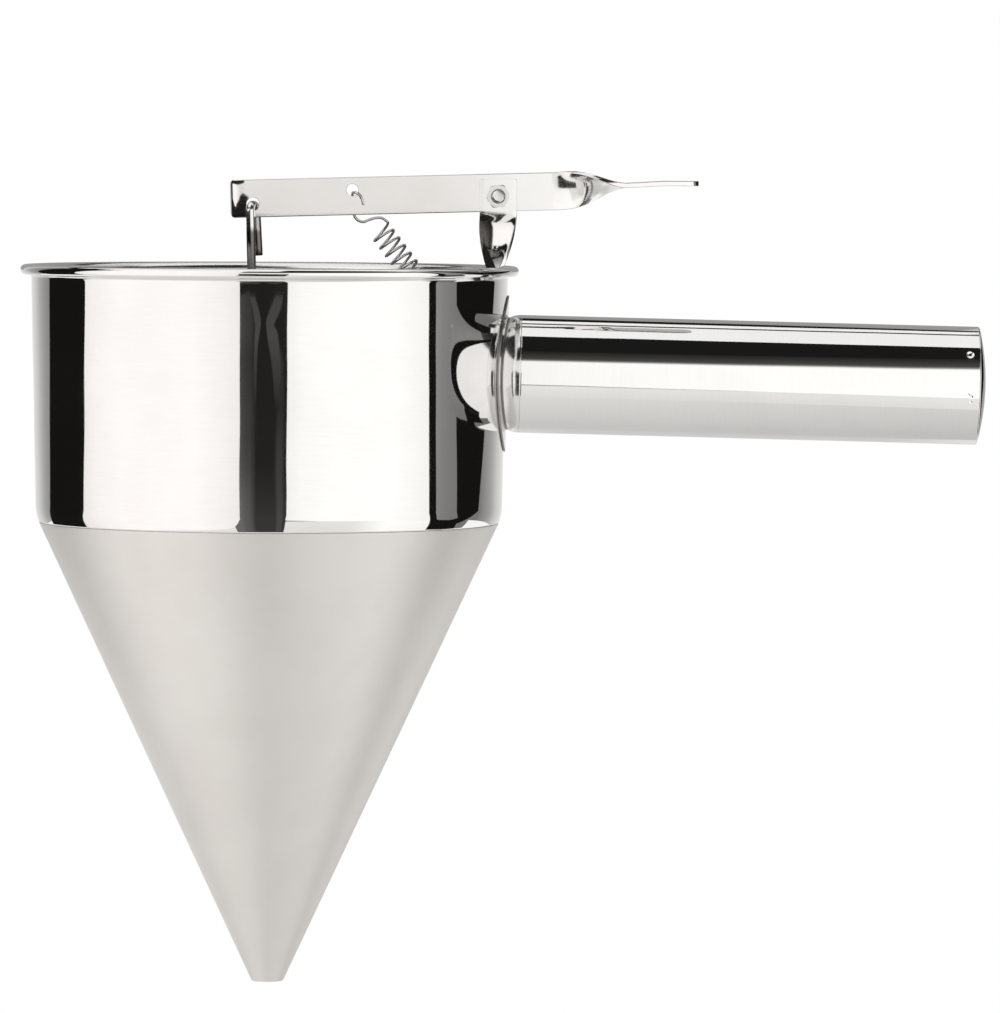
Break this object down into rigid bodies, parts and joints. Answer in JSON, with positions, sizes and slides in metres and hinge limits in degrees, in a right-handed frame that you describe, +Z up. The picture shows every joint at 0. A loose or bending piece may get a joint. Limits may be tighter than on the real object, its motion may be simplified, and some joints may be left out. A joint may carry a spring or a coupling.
{
  "type": "batter dispenser",
  "caption": "Funnel-shaped batter dispenser with a bowl, a cone and a hollow side handle; a sprung thumb lever lifts a plunger rod off the outlet.",
  "frame": {"origin": "centre of the outlet, at the cone's lower edge", "axes": "+Z up along the hopper's axis; +X from the hopper's axis along the handle; the lever's broad face and the pivot nut look along -Y"},
  "size_m": [0.2438, 0.1258, 0.2056],
  "materials": {
    "bowl_steel": "mirror polished",
    "cone_steel": "satin",
    "handle_steel": "mirror polished",
    "lever_steel": "fine satin",
    "bracket_steel": "polished",
    "wire_steel": "drawn bright",
    "fastener_steel": "bright",
    "stopper_steel": "turned"
  },
  "bodies": {
    "root": {"hopper_bowl": "bowl_steel", "funnel_cone": "cone_steel", "handle_saddle": "handle_steel", "handle_ferrule": "handle_steel", "handle_tube": "handle_steel", "handle_end_cap": "handle_steel", "pivot_bracket": "bracket_steel", "pivot_bolt": "fastener_steel", "pivot_nut": "fastener_steel", "pivot_washers": "fastener_steel", "spring_anchor": "bracket_steel", "return_spring": "wire_steel"},
    "lever": {"lever": "lever_steel"},
    "plunger": {"plunger_rod": "wire_steel", "plunger_stopper": "stopper_steel"}
  },
  "joints": [
    {"name": "lever_pivot", "type": "hinge", "parent": "root", "child": "lever", "pos_m": [0.0576, 0.0021, 0.1991], "axis": [0, 1, 0], "range_deg": [0, 38], "stiffness_Nm_per_rad": 0.12, "springref_deg": -51.57, "deforming": ["return_spring"]},
    {"name": "rod_swing", "type": "hinge", "parent": "lever", "child": "plunger", "pos_m": [-0.0044, 0.0021, 0.1968], "axis": [0, 1, 0], "range_deg": [-38, 0]}
  ],
  "couplings": [
    {"joint": "rod_swing", "follows": "lever_pivot", "ratio": -1}
  ]
}
